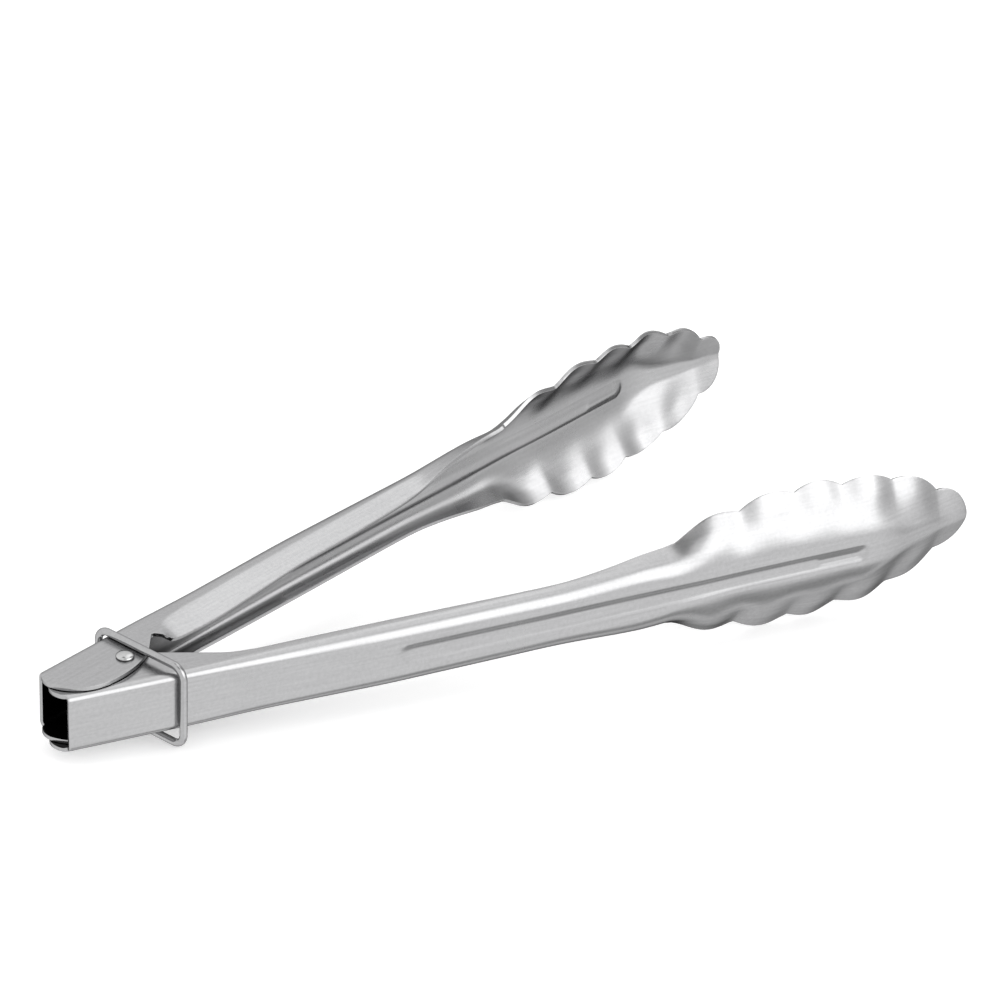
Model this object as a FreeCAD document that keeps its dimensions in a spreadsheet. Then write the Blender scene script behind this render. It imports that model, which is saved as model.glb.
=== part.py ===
"""Spring loaded kitchen tongs: two pressed arms, a rivet, a torsion spring and a locking ring.

The row frame has +Z along the hinge axis, +X from the hinge towards the tips and its origin on
the hinge axis, half way up the rivet. Lengths are millimetres and angles are degrees.

Each arm is drawn in its own frame: s runs from the hinge axis to the tip, v from the hinge axis
out to the arm's flat web, and u up along the hinge axis. The arm's deep flange and its outer ear
are at +u, its shallow flange and its inner ear are at -u. Both arms are the same pressing: the
right arm is the left arm turned half a turn about +X.
"""

import FreeCAD, Part

import math
import os

import Sketcher

SIZES = [
    # alias, value, what it is
    ("half_open", 12.3, "angle of each open arm from the middle"),
    ("gauge", 0.9, "sheet thickness"),
    ("nest_gap", 0.2, "clear gap between an outer ear and the inner ear under it"),
    ("channel_height", 14.6, "outside height of an arm's channel"),
    ("bend_radius", 1.7, "outside radius of the channel's bends"),
    ("arm_length", 213.0, "hinge axis to tip"),
    ("rear_reach", 17.0, "hinge axis back to the web's rear edge"),
    ("ear_reach", 19.5, "hinge axis back to the ears' rear edge"),
    ("ear_drop", 4.75, "how far the ears pass the hinge axis, away from their web"),
    ("ear_front", 5.5, "hinge axis to the outer ear's front corner"),
    ("web_rear", 9.8, "hinge axis to the web's outside at the rear edge"),
    ("web_grip", 10.3, "hinge axis to the web's outside at the middle of the grip"),
    ("web_neck", 9.8, "hinge axis to the web's outside at the neck"),
    ("web_bowl", 9.3, "hinge axis to the web's outside in the bowl"),
    ("grip_at", 60.0, "hinge axis to the middle of the grip"),
    ("swell_from", 28.0, "hinge axis to where the deep flange starts to stand out"),
    ("swell", 0.9, "how far the deep flange stands out along the grip"),
    ("notch_at", 10.9, "hinge axis to the root of the notch behind the deep flange"),
    ("notch_depth", 2.5, "hinge axis to the root of the notch, across the arm"),
    ("flange_at", 13.8, "hinge axis to the deep flange's rear corner"),
    ("deep_edge_rear", -1.0, "deep flange's free edge at its rear corner"),
    ("deep_edge_front", 1.1, "deep flange's free edge ahead of the bowl"),
    ("shallow_edge", 5.7, "shallow flange's free edge"),
    ("shallow_at", 22.0, "hinge axis to where the shallow flange starts"),
    ("neck_back", 95.0, "tip back to the neck, where the flanges start to spread"),
    ("bowl_floor_back", 26.0, "tip back to where the bowl's floor starts to rise"),
    ("bowl_rim_root", 3.9, "rim of the bowl above the middle plane, at its first cusp"),
    ("bowl_rim_tip", 0.35, "rim of the bowl above the middle plane, at the tip"),
    ("lobe_rise", 2.0, "how far each lobe stands out from the chord of its cusps"),
    ("rib_at", 62.0, "hinge axis to the rear end of the web's rib"),
    ("rib_front_back", 29.6, "tip back to the front end of the web's rib"),
    ("rib_width", 5.6, "width of the rib's groove"),
    ("rib_depth", 0.65, "depth of the rib's groove"),
    ("shank_radius", 1.5, "rivet shank"),
    ("shank_clearance", 0.05, "radial clearance of the ears on the shank"),
    ("head_radius", 2.1, "rivet heads"),
    ("head_height", 1.0, "height of the rivet heads"),
    ("head_edge", 0.3, "height of the straight edge under a rivet head's dome"),
    ("head_clearance", 0.05, "gap between a rivet head and its ear"),
    ("spring_wire", 1.5, "torsion spring wire"),
    ("coil_radius", 2.9, "torsion spring, to the middle of the wire"),
    ("coil_pitch", 1.7, "torsion spring, from turn to turn"),
    ("spring_leg", 24.0, "length of each spring leg"),
    ("spring_gap", 0.15, "gap between a leg's end and the web it presses on"),
    ("ring_wire", 1.8, "locking ring wire"),
    ("ring_side_gap", 0.75, "gap between each side bar of the locking ring and its arm's web"),
    ("ring_slack", 2.4, "how far the locking ring hangs below the ears"),
    ("ring_corner", 3.0, "corner radius of the locking ring, to the middle of the wire"),
    ("ring_at", 3.9, "hinge axis to the middle of the locking ring"),
    ("ring_shift", -0.4, "sideways offset of the locking ring"),
    ("ring_skew", 12.4, "angle of the locking ring across the arms"),
    ("ring_clearance", 0.1, "gap under the locking ring's top bar"),
    ("stop_gap", 0.06, "gap between an inner ear and the web that stops it"),
]

# cusps between the lobes: distance back from the tip, and half width there
CUSPS = [(81.0, 9.6), (62.3, 14.9), (47.7, 16.5), (35.0, 15.7), (21.3, 13.9), (8.3, 7.9)]

doc = FreeCAD.newDocument("tongs")
sheet = doc.addObject("Spreadsheet::Sheet", "Sheet")
rows = list(SIZES)
for index, (back, half) in enumerate(CUSPS, start=1):
    rows.append(("cusp_back_%d" % index, back, "tip back to cusp %d" % index))
    rows.append(("cusp_half_%d" % index, half, "half width of the bowl at cusp %d" % index))
for row, (alias, number, note) in enumerate(rows, start=1):
    sheet.set("A%d" % row, alias)
    sheet.set("B%d" % row, str(number))
    sheet.setAlias("B%d" % row, alias)
    sheet.set("C%d" % row, note)
doc.recompute()


def size(alias):
    """Value of one driving dimension."""
    return float(sheet.get(alias))


def vec(x, y, z=0.0):
    return FreeCAD.Vector(x, y, z)


gauge = size("gauge")
half_height = size("channel_height") / 2
tip = size("arm_length")
neck = tip - size("neck_back")
nest = (gauge + size("nest_gap")) / 2
stack_top = half_height + nest
cusps = []
for index in range(1, len(CUSPS) + 1):
    cusps.append((tip - size("cusp_back_%d" % index), size("cusp_half_%d" % index)))


def between(stations, s):
    """Straight interpolation in a list of (s, value) pairs."""
    for (s0, a), (s1, b) in zip(stations, stations[1:]):
        if s <= s1:
            return a + (b - a) * (s - s0) / (s1 - s0)
    return stations[-1][1]


# ---------------------------------------------------------------- the arms' pressed sheet

LOBE_SPARE = 1.2        # the sheet reaches this far past the lobes before they are trimmed
TIP_HALF = 3.5          # half width of the sheet at the very tip
TIP_SPARE = 0.05        # how much thicker than the sheet the solid is at the very tip
END_SPARE = 1.0         # how far the sheet and its hollow run past the ends
MOUTH_SPARE = 3.0       # how far the hollow runs past the flanges' free edges
LEAST_BEND = 0.3        # smallest radius inside a bend
STRAIGHT_SPARE = 18.0   # the flanges stop being parallel this far behind the neck
NECK_RIM = 3.0          # flanges' edges above the middle plane at the neck, before trimming
NECK_SPREAD = 1.2       # how far the flanges lean out at the neck
BOWL_BENDS = [4.0, 6.0, 7.0, 7.0, 7.0, 7.0, 4.0, 0.5]       # radii, from the first cusp to the tip
BOWL_FLATS = [0.4, 0.7, 1.0]    # how much narrower than the channel the bowl's floor is, from the rear
FLOOR_TAPER = 0.7       # the floor narrows by this from cusp to cusp as it rises
TIP_FLATS = [2.2, 0.6]  # half width of the floor at the last cusp and at the tip
WEB_DIP = 0.3           # the web draws in by this through the first lobe


def section_sizes():
    """(s, web, corner, bend, rim_v, rim_u, swell) of the outside of the sheet, from rear to tip."""
    ear_line = -size("ear_drop") - END_SPARE
    straight_end = neck - STRAIGHT_SPARE
    floor_end = tip - size("bowl_floor_back")
    rear = -size("ear_reach") - END_SPARE
    radius = size("bend_radius")
    lip = size("bowl_rim_root")
    swell = size("swell")
    rims = [(cusps[0][0], lip), (tip, size("bowl_rim_tip"))]
    rear_line = [(rear, size("web_rear")), (size("grip_at"), size("web_grip"))]
    rising = [(floor_end, size("web_bowl")), (tip, gauge + size("bowl_rim_tip"))]
    grip = between(rear_line, size("swell_from"))
    stations = [
        (rear, size("web_rear"), half_height, radius, ear_line, half_height, 0),
        (size("swell_from"), grip, half_height, radius, ear_line, half_height, 0),
        (size("grip_at"), size("web_grip"), half_height, radius, ear_line, half_height, swell),
        (straight_end, size("web_neck") + WEB_DIP, half_height, radius, ear_line, half_height, swell),
        (neck, size("web_neck"), half_height, 1.5 * radius, NECK_RIM, half_height + NECK_SPREAD, swell),
    ]
    bends = iter(BOWL_BENDS)
    s, half = cusps[0]
    floor = half_height - BOWL_FLATS[0]
    stations.append((s, size("web_neck"), floor, next(bends), lip, half, swell / 2))
    s = (cusps[0][0] + cusps[1][0]) / 2
    lobe = size("lobe_rise") + LOBE_SPARE
    half = (cusps[0][1] + cusps[1][1]) / 2 + lobe
    floor = half_height - BOWL_FLATS[1]
    stations.append((s, size("web_bowl") + WEB_DIP, floor, next(bends), between(rims, s), half, 0))
    floor = half_height - BOWL_FLATS[2]
    for s, half in cusps[1:-1]:
        web = size("web_bowl")
        if s > floor_end:
            web = between(rising, s)
            floor = FLOOR_TAPER * floor
        stations.append((s, web, floor, next(bends), between(rims, s), half + lobe, 0))
    s, half = cusps[-1]
    stations.append((s, between(rising, s), TIP_FLATS[0], next(bends), between(rims, s), half + lobe, 0))
    end = gauge + size("bowl_rim_tip") + TIP_SPARE
    stations.append((tip, end, TIP_FLATS[1], next(bends), size("bowl_rim_tip"), TIP_HALF, 0))
    return stations


def section_wire(s, web, corner, bend, rim_v, rim_u, swell):
    """Closed outline across the arm: mouth, flange, bend, web, bend, flange."""
    away = vec(0, rim_v - web, rim_u - corner)
    away.normalize()
    turn = math.atan2(-away.y, away.z)
    run = bend * math.tan(turn / 2)
    edges = []
    rim = {}
    bent = {}
    for side in (1, -1):
        extra = vec(0, 0, swell if side == 1 else 0)
        rim[side] = vec(s, rim_v, side * rim_u) + extra
        knee = vec(s, web, side * corner) + extra
        out = vec(0, away.y, side * away.z)
        on_flange = knee + out * run
        on_web = vec(s, web, side * (corner - run)) + extra
        middle = vec(s, web - bend, side * (corner - run)) + extra
        half_turn = vec(0, math.cos(turn / 2), side * math.sin(turn / 2))
        bent[side] = (on_flange, middle + half_turn * bend, on_web)
    edges.append(Part.LineSegment(rim[-1], rim[1]).toShape())
    edges.append(Part.LineSegment(rim[1], bent[1][0]).toShape())
    edges.append(Part.Arc(*bent[1]).toShape())
    edges.append(Part.LineSegment(bent[1][2], bent[-1][2]).toShape())
    edges.append(Part.Arc(bent[-1][2], bent[-1][1], bent[-1][0]).toShape())
    edges.append(Part.LineSegment(bent[-1][0], rim[-1]).toShape())
    return Part.Wire(edges)


def hollow_section(s, web, corner, bend, rim_v, rim_u, swell):
    """The same section moved in by the sheet's thickness, and open past its mouth."""
    away = vec(0, rim_v - web, rim_u - corner)
    away.normalize()
    inward = vec(0, -away.z, away.y)
    on_face = vec(0, rim_v, rim_u) + inward * gauge
    knee = on_face + away * ((web - gauge - on_face.y) / away.y)
    mouth = on_face + away * MOUTH_SPARE
    return (s, web - gauge, knee.z, max(bend - gauge, LEAST_BEND), mouth.y, mouth.z, swell)


def capsule(radius, start, end):
    """Round bar with round ends."""
    bar = Part.makeCylinder(radius, (end - start).Length, start, end - start)
    ends = [Part.makeSphere(radius, start), Part.makeSphere(radius, end)]
    return bar.multiFuse(ends)


def pressed_sheet():
    """The arm's sheet before its edges are trimmed: channel, rib and bowl."""
    outer_rows = section_sizes()
    inner_rows = [hollow_section(*row) for row in outer_rows]
    first = inner_rows[0]
    last = inner_rows[-1]
    inner_rows[0] = (first[0] - END_SPARE,) + first[1:]
    inner_rows.append((last[0] + END_SPARE,) + last[1:])
    outer = Part.makeLoft([section_wire(*row) for row in outer_rows], True, True)
    inner = Part.makeLoft([section_wire(*row) for row in inner_rows], True, True)
    shell = outer.cut(inner)

    web_line = [(size("grip_at"), size("web_grip")), (neck, size("web_neck")), (tip, size("web_bowl"))]
    depth = size("rib_depth")
    groove = (size("rib_width") ** 2 / 4 + depth ** 2) / (2 * depth)
    ends = []
    for s in (size("rib_at") + size("rib_width") / 2, tip - size("rib_front_back") - size("rib_width") / 2):
        ends.append(vec(s, between(web_line, s) + groove - depth, 0))
    bead = capsule(groove + gauge, *ends).common(outer)
    return shell.fuse(bead).cut(capsule(groove, *ends)).removeSplitter()


# ---------------------------------------------------------------- trimming the sheet

FAR = 60.0                  # past every edge of the sheet
EAR_SHOULDER = (0.5, 6.8)   # in from the ears' rear edge, out from the hinge axis
EAR_BACK = 4.2              # where the ears reach furthest back, out from the hinge axis
EAR_HEEL = (4.2, 2.3)       # in from the ears' rear edge, above their lowest point
OUTER_CORNER = 2.8          # the outer ear's front corner, above its lowest point
OUTER_BELLY = (4.0, 0.4)    # its lower edge, behind half way to the corner and above the lowest point
NOTCH_FLAT = 0.6            # length of the notch's root
DEEP_TAPER = 25.0           # the deep flange's edge draws in from this far behind the neck
DEEP_END = (4.0, 2.1)       # behind the neck, and how far the edge has drawn in there
RIM_START = (4.0, 0.3)      # the flanges' edges, behind the first cusp and above the rim there
INNER_BELLY = (-3.0, 0.3)   # the inner ear's lower edge, from the hinge axis and above its lowest point
INNER_FRONT = (2.0, 1.6)    # the end of that edge
RAMP_ROOT = (3.0, 2.0)      # behind the start of the shallow flange, inside its edge
RAMP_BEND = (1.0, 0.6)      # ahead of the start, inside the edge
RAMP_TOP = 7.0              # ahead of the start
SHALLOW_TAPER = (12.0, 0.3)     # behind the neck, and how far the shallow edge is drawn back there
SHALLOW_END = 0.8           # how far the shallow edge has drawn in at the neck
STOP_AHEAD = 4.0            # the stop's flat runs this far ahead of the hinge axis


def ear_outline():
    """Rear edge of the web and the round ear, from the web to the ear's lowest point."""
    rear = -size("rear_reach")
    back = -size("ear_reach")
    low = -size("ear_drop")
    shoulder = vec(back + EAR_SHOULDER[0], EAR_SHOULDER[1])
    return [
        Part.LineSegment(vec(rear, FAR), vec(rear, size("web_rear") - gauge)),
        Part.Arc(vec(rear, size("web_rear") - gauge), shoulder, vec(back, EAR_BACK)),
        Part.Arc(vec(back, EAR_BACK), vec(back + EAR_HEEL[0], low + EAR_HEEL[1]), vec(rear / 2, low)),
    ]


def closed_round(edges, last):
    """Close an outline round the waste side of the sheet."""
    start = edges[0].StartPoint
    corners = [last, vec(last.x, -FAR), vec(-FAR, -FAR), vec(-FAR, FAR), start]
    for a, b in zip(corners, corners[1:]):
        edges.append(Part.LineSegment(a, b))
    return edges


def chain(edges, points):
    """Add straight runs through the points."""
    for point in points:
        edges.append(Part.LineSegment(edges[-1].EndPoint, point))
    return edges


def outer_ear_outline():
    """Waste outside the outer ear and the deep flange."""
    low = -size("ear_drop")
    corner = vec(size("ear_front"), low + OUTER_CORNER)
    belly = vec(corner.x / 2 - OUTER_BELLY[0], low + OUTER_BELLY[1])
    edges = ear_outline()
    edges.append(Part.Arc(edges[-1].EndPoint, belly, corner))
    points = [
        vec(size("notch_at"), size("notch_depth")),
        vec(size("notch_at") + NOTCH_FLAT, size("notch_depth")),
        vec(size("flange_at"), size("deep_edge_rear")),
        vec(neck - DEEP_TAPER, size("deep_edge_front")),
        vec(neck - DEEP_END[0], size("deep_edge_front") + DEEP_END[1]),
        vec(cusps[0][0] - RIM_START[0], size("bowl_rim_root") + RIM_START[1]),
    ]
    chain(edges, points)
    return closed_round(edges, points[-1])


def inner_ear_outline():
    """Waste outside the inner ear and the shallow flange."""
    low = -size("ear_drop")
    edge = size("shallow_edge")
    start = size("shallow_at")
    edges = ear_outline()
    belly = vec(INNER_BELLY[0], low + INNER_BELLY[1])
    front = vec(INNER_FRONT[0], low + INNER_FRONT[1])
    edges.append(Part.Arc(edges[-1].EndPoint, belly, front))
    chain(edges, [vec(start - RAMP_ROOT[0], edge - RAMP_ROOT[1])])
    bend = vec(start + RAMP_BEND[0], edge - RAMP_BEND[1])
    edges.append(Part.Arc(edges[-1].EndPoint, bend, vec(start + RAMP_TOP, edge)))
    points = [
        vec(neck - SHALLOW_TAPER[0], edge + SHALLOW_TAPER[1]),
        vec(neck, edge - SHALLOW_END),
        vec(cusps[0][0] - RIM_START[0], size("bowl_rim_root") + RIM_START[1]),
    ]
    chain(edges, points)
    return closed_round(edges, points[-1])


def lobe_trim_outline():
    """Waste outside the lobes of the bowl, drawn in s and u."""
    edges = []
    rise = size("lobe_rise")
    first = vec(cusps[0][0], cusps[0][1])
    for (s0, u0), (s1, u1) in zip(cusps, cusps[1:]):
        chord = vec(s1 - s0, u1 - u0)
        out = vec(-chord.y, chord.x)
        out.normalize()
        crest = vec((s0 + s1) / 2, (u0 + u1) / 2) + out * rise
        edges.append(Part.Arc(vec(s0, u0), crest, vec(s1, u1)))
    last = vec(*cusps[-1])
    below = vec(last.x, -last.y)
    mirrored = []
    for arc in reversed(edges):
        ends = [arc.EndPoint, arc.value((arc.FirstParameter + arc.LastParameter) / 2), arc.StartPoint]
        mirrored.append(Part.Arc(*[vec(p.x, -p.y) for p in ends]))
    edges.append(Part.Arc(last, vec(tip, 0), below))
    edges.extend(mirrored)
    corners = [edges[-1].EndPoint, vec(first.x, -FAR), vec(tip + FAR, -FAR), vec(tip + FAR, FAR)]
    corners.extend([vec(first.x, FAR), first])
    for a, b in zip(corners, corners[1:]):
        edges.append(Part.LineSegment(a, b))
    return edges


def origin_plane(body, role):
    for feature in body.Origin.OriginFeatures:
        if feature.Role == role:
            return feature
    raise ValueError(role)


def add_sketch(body, name, role, edges):
    """Sketch on one of the body's own planes."""
    sketch = body.newObject("Sketcher::SketchObject", name)
    sketch.AttachmentSupport = [(origin_plane(body, role), "")]
    sketch.MapMode = "FlatFace"
    sketch.addGeometry(edges, False)
    return sketch


def add_pocket(body, name, sketch, sides):
    """Cut a sketch through the body: up its normal, down it, or both ways."""
    before = body.Shape.Volume
    pocket = body.newObject("PartDesign::Pocket", name)
    pocket.Profile = sketch
    pocket.Type = "Length"
    pocket.Length = FAR
    pocket.Midplane = sides == "both"
    pocket.Reversed = sides == "up"
    doc.recompute()
    if body.Shape.Volume >= before:
        raise ValueError(name + " cuts nothing")
    return pocket


def make_arm(label, turned):
    """One pressed arm, with its sheet, ears, flanges, lobes and rivet hole."""
    blank = doc.addObject("Part::Feature", label + "_sheet")
    blank.Shape = pressed_sheet()
    body = doc.addObject("PartDesign::Body", label)
    body.BaseFeature = blank
    doc.recompute()

    outer = add_sketch(body, label + "_outer_ear", "XY_Plane", outer_ear_outline())
    add_pocket(body, label + "_trim_outer", outer, "up")
    inner = add_sketch(body, label + "_inner_ear", "XY_Plane", inner_ear_outline())
    add_pocket(body, label + "_trim_inner", inner, "down")
    lobes = add_sketch(body, label + "_lobes", "XZ_Plane", lobe_trim_outline())
    add_pocket(body, label + "_trim_lobes", lobes, "both")

    hole_sketch = add_sketch(body, label + "_hole", "XY_Plane", [Part.Circle(vec(0, 0), vec(0, 0, 1), 1.0)])
    hole_sketch.addConstraint(Sketcher.Constraint("Radius", 0, 1.0))
    hole_sketch.setExpression("Constraints[0]", "Sheet.shank_radius + Sheet.shank_clearance")
    add_pocket(body, label + "_rivet_hole", hole_sketch, "both")

    # the inner ear's flat, which meets the inside of the other arm's bend when the tongs are open
    inside = size("bend_radius") - gauge
    ledge = inside - math.sqrt(inside ** 2 - (inside - size("nest_gap")) ** 2)
    reach = size("web_rear") - gauge - ledge - size("stop_gap")
    angle = math.radians(2 * size("half_open"))
    normal = vec(-math.sin(angle), -math.cos(angle))
    along = vec(math.cos(angle), -math.sin(angle))
    foot = normal * reach
    back = foot - along * FAR / 2
    front = foot + along * STOP_AHEAD
    corners = [back, front, front + normal * FAR, back + normal * FAR, back]
    stop = [Part.LineSegment(a, b) for a, b in zip(corners, corners[1:])]
    stop_sketch = add_sketch(body, label + "_stop", "XY_Plane", stop)
    add_pocket(body, label + "_stop_flat", stop_sketch, "down")

    body.Label = label
    spin = FreeCAD.Rotation(vec(0, 0, 1), size("half_open"))
    if turned:
        spin = FreeCAD.Rotation(vec(1, 0, 0), 180) * spin
    body.Placement = FreeCAD.Placement(vec(0, 0, -nest if turned else nest), spin)
    side = "-" if turned else ""
    body.setExpression("Placement.Base.z", side + "(Sheet.gauge + Sheet.nest_gap) / 2")
    return body


# ---------------------------------------------------------------- rivet, spring and ring

WHOLE_TURNS = 6     # of the coil, less the part turn at which each leg leaves it


def make_rivet():
    """Pivot rivet with a domed head at each end, turned about the hinge axis."""
    body = doc.addObject("PartDesign::Body", "pivot_rivet")
    shank = size("shank_radius")
    head = size("head_radius")
    seat = stack_top + size("head_clearance")
    top = seat + size("head_height")
    edge = seat + size("head_edge")
    rise = top - edge
    dome = (head ** 2 + rise ** 2) / (2 * rise)
    slope = math.asin(head / dome) / 2
    crown = vec(dome * math.sin(slope), top - dome * (1 - math.cos(slope)))
    points = [vec(0, -top), vec(0, top)]
    edges = [Part.LineSegment(*points)]
    edges.append(Part.Arc(vec(0, top), crown, vec(head, edge)))
    chain(edges, [vec(head, seat), vec(shank, seat), vec(shank, -seat), vec(head, -seat), vec(head, -edge)])
    edges.append(Part.Arc(vec(head, -edge), vec(crown.x, -crown.y), vec(0, -top)))
    sketch = add_sketch(body, "rivet_half", "XZ_Plane", edges)
    turned = body.newObject("PartDesign::Revolution", "rivet_turned")
    turned.Profile = sketch
    turned.ReferenceAxis = (sketch, ["V_Axis"])
    turned.Angle = 360
    body.Label = "pivot_rivet"
    return body


def make_spring():
    """Torsion spring: a close coil round the rivet and a straight leg along each arm."""
    radius = size("coil_radius")
    wire = size("spring_wire") / 2
    leg = size("spring_leg")
    open_angle = size("half_open")
    reach = size("web_rear") - gauge - size("spring_gap") - wire
    lean = math.degrees(math.asin((reach - radius) / leg))
    leave = 90 + open_angle + lean
    turns = WHOLE_TURNS - 2 * leave / 360
    height = size("coil_pitch") * turns
    path = Part.makeHelix(size("coil_pitch"), height, radius, 0, True)
    path.rotate(vec(0, 0, 0), vec(0, 0, 1), -leave)
    path.translate(vec(0, 0, -height / 2))
    start = path.Edges[0].valueAt(path.Edges[0].FirstParameter)
    slope = path.Edges[0].tangentAt(path.Edges[0].FirstParameter)
    profile = Part.Wire(Part.makeCircle(wire, start, slope))
    coil = Part.Wire(path.Edges).makePipeShell([profile], True, True)
    solid = coil
    for side in (1, -1):
        turn = math.radians(leave)
        foot = vec(radius * math.cos(turn), side * radius * math.sin(turn), side * height / 2)
        heading = math.radians(open_angle + lean)
        way = vec(math.cos(heading), side * math.sin(heading), 0)
        solid = solid.fuse(Part.makeCylinder(wire, leg, foot, way))
        solid = solid.fuse(Part.makeSphere(wire, foot))
    spring = doc.addObject("Part::Feature", "torsion_spring")
    spring.Shape = solid
    spring.Label = "torsion_spring"
    return spring


def make_ring():
    """Locking ring: one wire bent to a rounded rectangle round both arms."""
    body = doc.addObject("PartDesign::Body", "locking_ring")
    corner = size("ring_corner")
    wire = size("ring_wire")
    angle = math.radians(size("half_open"))
    across = (size("web_grip") + size("ring_at") * math.sin(angle)) / math.cos(angle)
    half_y = across + size("ring_side_gap") + wire / 2
    half_z = stack_top + (size("ring_clearance") + size("ring_slack") + wire) / 2
    bend = corner * (1 - math.sqrt(0.5))
    edges = []
    start = vec(0, half_z)
    point = start
    for side_y, side_z in ((1, 1), (1, -1), (-1, -1), (-1, 1)):
        flat = vec(side_y * (half_y - corner), side_z * half_z)
        upright = vec(side_y * half_y, side_z * (half_z - corner))
        middle = vec(side_y * (half_y - bend), side_z * (half_z - bend))
        first, last = (flat, upright) if side_y == side_z else (upright, flat)
        edges.append(Part.LineSegment(point, first))
        edges.append(Part.Arc(first, middle, last))
        point = last
    edges.append(Part.LineSegment(point, start))
    path = add_sketch(body, "ring_path", "YZ_Plane", edges)
    circle = [Part.Circle(vec(0, half_z), vec(0, 0, 1), wire / 2)]
    profile = add_sketch(body, "ring_section", "XZ_Plane", circle)
    profile.addConstraint(Sketcher.Constraint("Radius", 0, wire / 2))
    profile.setExpression("Constraints[0]", "Sheet.ring_wire / 2")
    pipe = body.newObject("PartDesign::AdditivePipe", "ring_bent")
    pipe.Profile = profile
    pipe.Spine = path
    doc.recompute()
    body.Label = "locking_ring"
    height = stack_top + size("ring_clearance") + wire / 2 - half_z
    spin = FreeCAD.Rotation(vec(0, 0, 1), size("ring_skew"))
    body.Placement = FreeCAD.Placement(vec(size("ring_at"), size("ring_shift"), height), spin)
    body.setExpression("Placement.Base.x", "Sheet.ring_at")
    body.setExpression("Placement.Base.y", "Sheet.ring_shift")
    return body


nodes = [
    make_arm("left_arm", False),
    make_arm("right_arm", True),
    make_rivet(),
    make_spring(),
    make_ring(),
]
doc.recompute()

for item in doc.Objects:
    if "Invalid" in item.State or "Error" in item.State:
        raise RuntimeError("%s is %s" % (item.Name, item.State))
os.makedirs("parts", exist_ok=True)
for node in nodes:
    shape = node.Shape
    if shape.isNull() or not shape.isValid():
        raise RuntimeError(node.Label + " has no valid shape")
    print(node.Label, len(shape.Solids), "solid", round(shape.Volume, 1), "mm3", shape.BoundBox)
for node in nodes:
    node.Shape.exportStep("parts/%s.step" % node.Label)
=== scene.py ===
"""Spring loaded kitchen tongs, open, lying on a pale floor.

Two pressed stainless arms turn on one rivet, a torsion spring inside their ears holds them open,
and a bent wire ring slides over both to lock them. The shapes are written in millimetres.

An arm is drawn in its own frame: s from the hinge axis to the tip, v from the hinge axis out to
the flat web, u up along the hinge axis. It is cut as a flat blank, whose second coordinate is the
girth, measured round the section from the middle of the web, and then pressed.
"""

import math

import bmesh
import bpy
import numpy as np
from mathutils import Matrix, Vector
from mathutils.geometry import delaunay_2d_cdt
from mathutils.kdtree import KDTree


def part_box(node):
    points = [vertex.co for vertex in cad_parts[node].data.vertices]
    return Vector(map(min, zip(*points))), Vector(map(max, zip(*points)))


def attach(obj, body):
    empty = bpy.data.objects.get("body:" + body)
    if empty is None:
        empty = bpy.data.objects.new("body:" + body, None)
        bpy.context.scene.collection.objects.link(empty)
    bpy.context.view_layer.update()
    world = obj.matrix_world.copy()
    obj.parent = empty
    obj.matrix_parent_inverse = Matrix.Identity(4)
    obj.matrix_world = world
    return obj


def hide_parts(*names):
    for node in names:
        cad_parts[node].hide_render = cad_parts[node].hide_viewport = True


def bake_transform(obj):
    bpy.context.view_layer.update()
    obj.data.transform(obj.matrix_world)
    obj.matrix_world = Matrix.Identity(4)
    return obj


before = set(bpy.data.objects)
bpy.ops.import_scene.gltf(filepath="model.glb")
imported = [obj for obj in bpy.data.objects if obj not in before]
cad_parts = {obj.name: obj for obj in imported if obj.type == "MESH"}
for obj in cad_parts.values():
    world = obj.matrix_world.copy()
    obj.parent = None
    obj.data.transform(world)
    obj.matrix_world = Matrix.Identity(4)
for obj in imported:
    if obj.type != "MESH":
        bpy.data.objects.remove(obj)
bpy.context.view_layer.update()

MM = 0.001

# ---------------------------------------------------------------- the pressing

HALF_OPEN = math.radians(12.3)
NEST = 0.55             # each arm sits this far from the middle, so that their ears nest
GAUGE = 0.9
EDGE_ROUND = 0.22
TIP = 213.0
WEB_REAR = -17.0

# the section at stations along the arm: how far out the web's outer face is, the half width to the
# sharp corner that each bend rounds off, the bend's radius, and the degrees it turns through
WEB = [
    (-21, 9.8), (60, 10.3), (95, 10.1), (118, 9.8), (140, 9.75),
    (152, 9.35), (187, 9.2), (213, 1.3), (221, -1.2),
]
KNEE = [
    (-21, 7.3), (118, 7.3), (126, 7.1), (132, 6.2), (140, 6.1),
    (151, 6.3), (178, 6.0), (187, 4.4), (193, 2.2), (213, 0.5),
]
BEND = [
    (-21, 1.7), (12, 1.8), (35, 2.7), (60, 3.5), (100, 4.1), (118, 4.6),
    (132, 6), (141, 10), (151, 16), (178, 15), (190, 6), (213, 1.5),
]
TURN = [
    (-21, 90), (102, 90), (110, 84), (118, 76), (125, 65), (132, 57), (140, 45),
    (151, 34), (165, 32), (178, 36), (192, 28), (205, 22), (213, 18),
]
SWELL = [(-21, 0), (28, 0), (60, 0.9), (118, 0.9), (132, 0.45), (142, 0)]   # added width, deep side only

# cusps between the bowl's lobes: along the arm, and half width there
CUSPS = [(133.5, 10.35), (150.7, 14.9), (165.3, 16.5), (178.0, 15.7), (191.7, 13.9), (204.7, 7.9)]
LOBE_RISE = 1.82
FIRST_LEAN = 1.3        # the first lobe rises slowly and ends round
FLUTES = [1.7, 0.95, 0.9, 0.9, 0.8, 0.5]    # how far each lobe is pressed out past its cusps
FLUTE_ROUND = 1.5       # 1 for sharp creases between the flutes, 2 for smooth ones
FLUTE_LEAD = 3.0        # the first flute starts this far behind its cusp
FLUTE_LENGTH = 5.5      # how far the flutes run in from the rim
FLUTE_RIM = 1.5         # this close to the rim they have their full depth

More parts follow.
